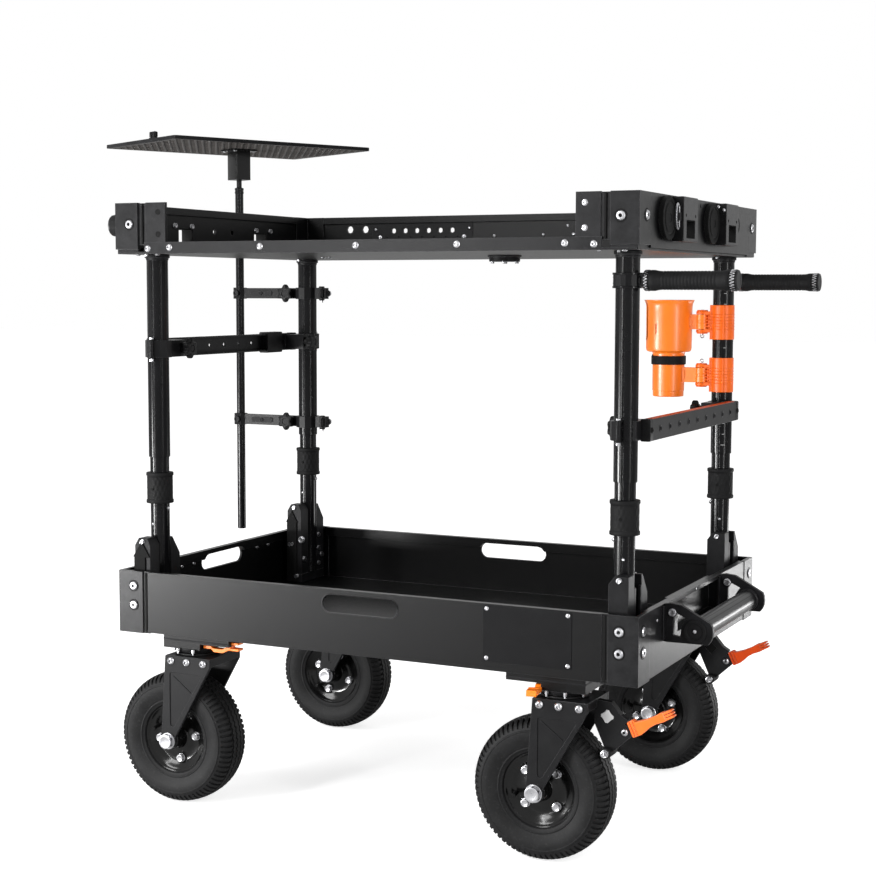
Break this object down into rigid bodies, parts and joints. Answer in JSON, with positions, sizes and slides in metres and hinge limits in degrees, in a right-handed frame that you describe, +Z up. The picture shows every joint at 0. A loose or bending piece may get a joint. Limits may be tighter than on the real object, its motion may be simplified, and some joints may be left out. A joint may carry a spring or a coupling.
{
  "type": "workstation cart",
  "caption": "Rolling crew cart: tray base on swivel casters, telescoping posts, raised deck, laptop pole, cup holder and push handles.",
  "frame": {"origin": "on the floor, under the middle of the whole footprint, laptop tray and push handles included", "axes": "+X along the cart towards the push handles, +Y away from the working side, +Z up"},
  "size_m": [1.6164, 1.0112, 1.3455],
  "materials": {
    "powder_coat": "black powder-coated aluminium sheet and castings, fine grain",
    "anodised": "black anodised aluminium tube, satin",
    "coated_steel": "black coated steel plate",
    "gloss_steel": "gloss black pressed steel rims",
    "tyre": "black rubber with a worn road tread",
    "bright_steel": "bright plated steel",
    "orange_plastic": "orange moulded plastic, satin",
    "red_plastic": "red-orange plastic pedal, satin",
    "grip_rubber": "black knurled rubber",
    "knob_plastic": "black moulded plastic"
  },
  "bodies": {
    "base": {"tray": "powder_coat", "push_handle": "powder_coat", "post_bracket_fl": "powder_coat", "lower_post_fl": "anodised", "post_bracket_fr": "powder_coat", "lower_post_fr": "anodised", "post_bracket_rl": "powder_coat", "lower_post_rl": "anodised", "post_bracket_rr": "powder_coat", "lower_post_rr": "anodised"},
    "deck": {"deck": "powder_coat", "deck_rear_wall": "powder_coat", "deck_end_wall_right": "powder_coat", "deck_end_wall_left": "powder_coat", "cross_bar_right": "anodised", "cross_bar_left": "anodised", "pole_arm_upper": "powder_coat", "pole_arm_lower": "powder_coat", "cup_clamp_upper": "orange_plastic", "cup_clamp_lower": "orange_plastic", "upper_post_fl": "anodised", "upper_post_fr": "anodised", "upper_post_rl": "anodised", "upper_post_rr": "anodised"},
    "handle_front": {"handle_arm_fr": "anodised", "handle_grip_fr": "grip_rubber"},
    "handle_rear": {"handle_arm_rr": "anodised", "handle_grip_rr": "grip_rubber"},
    "pole": {"laptop_pole": "anodised"},
    "laptop_tray": {"laptop_tray": "powder_coat"},
    "cup": {"cup_holder": "orange_plastic"},
    "tie_ring": {"tie_ring": "bright_steel"},
    "caster_fl": {"fork_fl": "coated_steel"},
    "wheel_fl": {"tyre_fl": "tyre", "rim_fl": "gloss_steel"},
    "lever_fl": {"lock_lever_fl": "orange_plastic"},
    "button_fl": {"snap_button_fl": "bright_steel"},
    "caster_fr": {"fork_fr": "coated_steel"},
    "wheel_fr": {"tyre_fr": "tyre", "rim_fr": "gloss_steel"},
    "lever_fr": {"lock_lever_fr": "orange_plastic"},
    "button_fr": {"snap_button_fr": "bright_steel"},
    "caster_rl": {"fork_rl": "coated_steel"},
    "wheel_rl": {"tyre_rl": "tyre", "rim_rl": "gloss_steel"},
    "lever_rl": {"lock_lever_rl": "orange_plastic"},
    "button_rl": {"snap_button_rl": "bright_steel"},
    "caster_rr": {"fork_rr": "coated_steel"},
    "wheel_rr": {"tyre_rr": "tyre", "rim_rr": "gloss_steel"},
    "lever_rr": {"lock_lever_rr": "orange_plastic"},
    "button_rr": {"snap_button_rr": "bright_steel"},
    "pedal_fr": {"brake_pedal_fr": "red_plastic"},
    "pedal_rr": {"brake_pedal_rr": "red_plastic"},
    "knob_right_front": {"bar_knob_right_front": "knob_plastic"},
    "knob_right_rear": {"bar_knob_right_rear": "knob_plastic"},
    "knob_left_front": {"bar_knob_left_front": "knob_plastic"},
    "knob_left_rear": {"bar_knob_left_rear": "knob_plastic"},
    "arm_knob_upper": {"arm_knob_upper": "knob_plastic"},
    "arm_knob_lower": {"arm_knob_lower": "knob_plastic"}
  },
  "joints": [
    {"name": "deck_height", "type": "slide", "parent": "base", "child": "deck", "axis": [0, 0, 1], "range_m": [-0.03, 0.2]},
    {"name": "swivel_fl", "type": "hinge", "parent": "base", "child": "caster_fl", "pos_m": [-0.26215, -0.40459, 0.301], "axis": [0, 0, 1], "continuous": true},
    {"name": "wheel_spin_fl", "type": "hinge", "parent": "caster_fl", "child": "wheel_fl", "pos_m": [-0.29755, -0.40459, 0.13], "axis": [0, 1, 0], "continuous": true},
    {"name": "swivel_lock_fl", "type": "hinge", "parent": "base", "child": "lever_fl", "pos_m": [-0.22445, -0.42559, 0.319], "axis": [0, 0, 1], "range_deg": [-90, 0]},
    {"name": "snap_button_press_fl", "type": "slide", "parent": "base", "child": "button_fl", "axis": [-1, 0, 0], "range_m": [0, 0.004], "stiffness_N_per_m": 400, "springref_m": -0.002},
    {"name": "swivel_fr", "type": "hinge", "parent": "base", "child": "caster_fr", "pos_m": [0.51525, -0.40459, 0.301], "axis": [0, 0, 1], "continuous": true},
    {"name": "wheel_spin_fr", "type": "hinge", "parent": "caster_fr", "child": "wheel_fr", "pos_m": [0.47985, -0.40459, 0.13], "axis": [0, 1, 0], "continuous": true},
    {"name": "swivel_lock_fr", "type": "hinge", "parent": "base", "child": "lever_fr", "pos_m": [0.47755, -0.42559, 0.319], "axis": [0, 0, 1], "range_deg": [-90, 0]},
    {"name": "snap_button_press_fr", "type": "slide", "parent": "base", "child": "button_fr", "axis": [1, 0, 0], "range_m": [0, 0.004], "stiffness_N_per_m": 400, "springref_m": -0.002},
    {"name": "swivel_rl", "type": "hinge", "parent": "base", "child": "caster_rl", "pos_m": [-0.26215, 0.22321, 0.301], "axis": [0, 0, 1], "continuous": true},
    {"name": "wheel_spin_rl", "type": "hinge", "parent": "caster_rl", "child": "wheel_rl", "pos_m": [-0.29755, 0.22321, 0.13], "axis": [0, 1, 0], "continuous": true},
    {"name": "swivel_lock_rl", "type": "hinge", "parent": "base", "child": "lever_rl", "pos_m": [-0.22445, 0.24421, 0.319], "axis": [0, 0, 1], "range_deg": [0, 90]},
    {"name": "snap_button_press_rl", "type": "slide", "parent": "base", "child": "button_rl", "axis": [-1, 0, 0], "range_m": [0, 0.004], "stiffness_N_per_m": 400, "springref_m": -0.002},
    {"name": "swivel_rr", "type": "hinge", "parent": "base", "child": "caster_rr", "pos_m": [0.51525, 0.22321, 0.301], "axis": [0, 0, 1], "continuous": true},
    {"name": "wheel_spin_rr", "type": "hinge", "parent": "caster_rr", "child": "wheel_rr", "pos_m": [0.47985, 0.22321, 0.13], "axis": [0, 1, 0], "continuous": true},
    {"name": "swivel_lock_rr", "type": "hinge", "parent": "base", "child": "lever_rr", "pos_m": [0.47755, 0.24421, 0.319], "axis": [0, 0, 1], "range_deg": [-90, 0]},
    {"name": "snap_button_press_rr", "type": "slide", "parent": "base", "child": "button_rr", "axis": [1, 0, 0], "range_m": [0, 0.004], "stiffness_N_per_m": 400, "springref_m": -0.002},
    {"name": "brake_fr", "type": "hinge", "parent": "caster_fr", "child": "pedal_fr", "pos_m": [0.63075, -0.40459, 0.2465], "axis": [0, 1, 0], "range_deg": [0, 25]},
    {"name": "brake_rr", "type": "hinge", "parent": "caster_rr", "child": "pedal_rr", "pos_m": [0.63075, 0.22321, 0.2465], "axis": [0, 1, 0], "range_deg": [0, 25]},
    {"name": "handle_swing_front", "type": "hinge", "parent": "deck", "child": "handle_front", "pos_m": [0.61615, -0.38279, 1.031], "axis": [0, 0, 1], "range_deg": [-90, 90]},
    {"name": "handle_swing_rear", "type": "hinge", "parent": "deck", "child": "handle_rear", "pos_m": [0.61615, 0.20141, 1.031], "axis": [0, 0, 1], "range_deg": [-90, 90]},
    {"name": "pole_height", "type": "slide", "parent": "deck", "child": "pole", "axis": [0, 0, 1], "range_m": [-0.14, 0.2]},
    {"name": "laptop_tray_swivel", "type": "hinge", "parent": "pole", "child": "laptop_tray", "pos_m": [-0.54505, 0.20141, 1.2675], "axis": [0, 0, 1], "continuous": true},
    {"name": "cup_swing", "type": "hinge", "parent": "deck", "child": "cup", "pos_m": [0.57255, 0.20141, 0.955], "axis": [0, 0, 1], "range_deg": [-70, 70]},
    {"name": "tie_ring_swing", "type": "hinge", "parent": "deck", "child": "tie_ring", "pos_m": [0.67565, -0.28819, 1.143], "axis": [0, 0, 1], "range_deg": [0, 90]},
    {"name": "knob_turn_right_front", "type": "hinge", "parent": "deck", "child": "knob_right_front", "pos_m": [0.59085, -0.33279, 0.772], "axis": [1, 0, 0], "continuous": true},
    {"name": "knob_turn_right_rear", "type": "hinge", "parent": "deck", "child": "knob_right_rear", "pos_m": [0.59085, 0.15141, 0.772], "axis": [1, 0, 0], "continuous": true},
    {"name": "knob_turn_left_front", "type": "hinge", "parent": "deck", "child": "knob_left_front", "pos_m": [-0.33775, -0.33279, 0.897], "axis": [1, 0, 0], "continuous": true},
    {"name": "knob_turn_left_rear", "type": "hinge", "parent": "deck", "child": "knob_left_rear", "pos_m": [-0.33775, 0.15141, 0.897], "axis": [1, 0, 0], "continuous": true},
    {"name": "arm_knob_turn_upper", "type": "hinge", "parent": "deck", "child": "arm_knob_upper", "pos_m": [-0.40855, 0.19511, 1.006], "axis": [0, 1, 0], "continuous": true},
    {"name": "arm_knob_turn_lower", "type": "hinge", "parent": "deck", "child": "arm_knob_lower", "pos_m": [-0.40855, 0.19511, 0.712], "axis": [0, 1, 0], "continuous": true}
  ]
}
